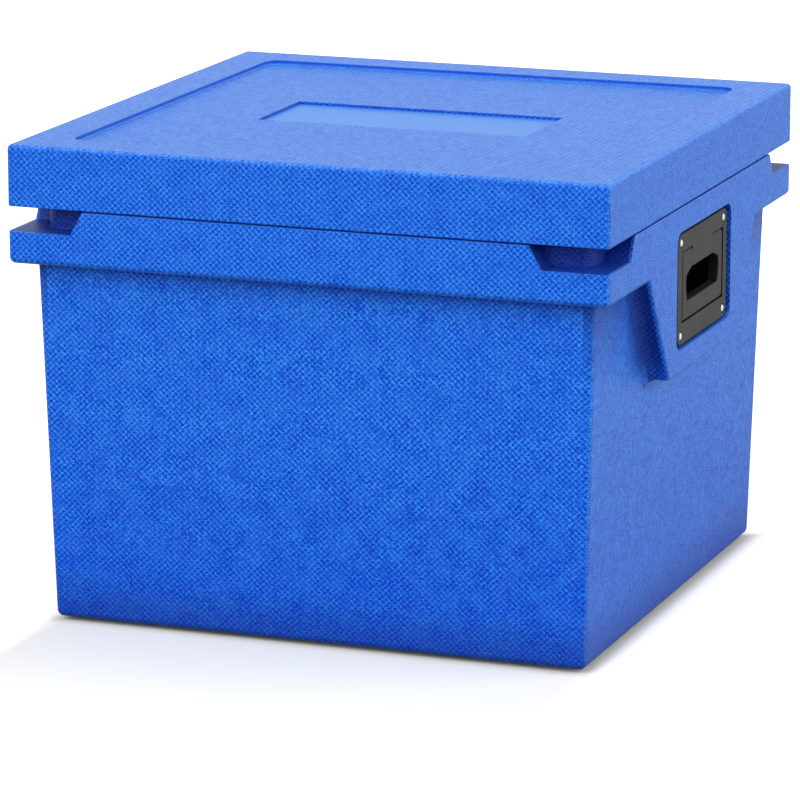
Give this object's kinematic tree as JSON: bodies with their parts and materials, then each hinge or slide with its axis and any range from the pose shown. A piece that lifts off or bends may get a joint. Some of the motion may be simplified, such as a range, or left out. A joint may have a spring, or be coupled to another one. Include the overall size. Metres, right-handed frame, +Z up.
{
  "type": "insulated shipping box",
  "caption": "Reusable foam shipping box with a lift-off lid, folding end handles, vacuum panels, coolant packs and a payload box inside.",
  "frame": {"origin": "middle of the underside, on the surface that the box stands on", "axes": "+Z up, +X towards the right-hand handle, -Y towards the plain front"},
  "size_m": [0.6, 0.6, 0.4722],
  "materials": {
    "blue_foam": "moulded bead foam with a woven-look skin",
    "barrier_film": "crinkled metallised film",
    "liner_plastic": "smooth sheet",
    "rivet_plastic": "bright heads",
    "pack_plastic": "blow-moulded, translucent",
    "cap_plastic": "ribbed caps",
    "clip_steel": "bent strip",
    "screw_steel": "plain heads",
    "payload_plastic": "twin-wall sheet",
    "black_plastic": "fine moulded grain",
    "bail_plastic": "fine moulded grain",
    "pin_steel": "plain rod"
  },
  "bodies": {
    "base": {"base_shell": "blue_foam", "vacuum_panel_bottom": "barrier_film", "vacuum_panel_front": "barrier_film", "vacuum_panel_back": "barrier_film", "vacuum_panel_left": "barrier_film", "vacuum_panel_right": "barrier_film", "inner_liner": "liner_plastic", "coolant_pack_front": "pack_plastic", "coolant_pack_right": "pack_plastic", "coolant_pack_back": "pack_plastic", "coolant_pack_left": "pack_plastic", "coolant_pack_bottom": "pack_plastic", "pack_caps": "cap_plastic", "payload_box": "payload_plastic", "right_handle_plate": "black_plastic", "left_handle_plate": "black_plastic", "right_hinge_pin": "pin_steel", "left_hinge_pin": "pin_steel", "right_plate_rivets": "rivet_plastic", "left_plate_rivets": "rivet_plastic"},
    "lid": {"lid_shell": "blue_foam", "lid_liner": "liner_plastic", "lid_liner_rivets": "rivet_plastic", "vacuum_panel_lid": "barrier_film", "coolant_pack_lid": "pack_plastic", "lid_pack_cap": "cap_plastic", "lid_pack_clips": "clip_steel", "clip_screws": "screw_steel"},
    "right_bail": {"right_bail": "bail_plastic"},
    "left_bail": {"left_bail": "bail_plastic"}
  },
  "joints": [
    {"name": "lid_lift", "type": "slide", "parent": "base", "child": "lid", "axis": [0, 0, 1], "range_m": [0, 0.3]},
    {"name": "right_bail_hinge", "type": "hinge", "parent": "base", "child": "right_bail", "pos_m": [0.2932, 0, 0.361], "axis": [0, -1, 0], "range_deg": [0, 90]},
    {"name": "left_bail_hinge", "type": "hinge", "parent": "base", "child": "left_bail", "pos_m": [-0.2932, 0, 0.361], "axis": [0, 1, 0], "range_deg": [0, 90]}
  ]
}
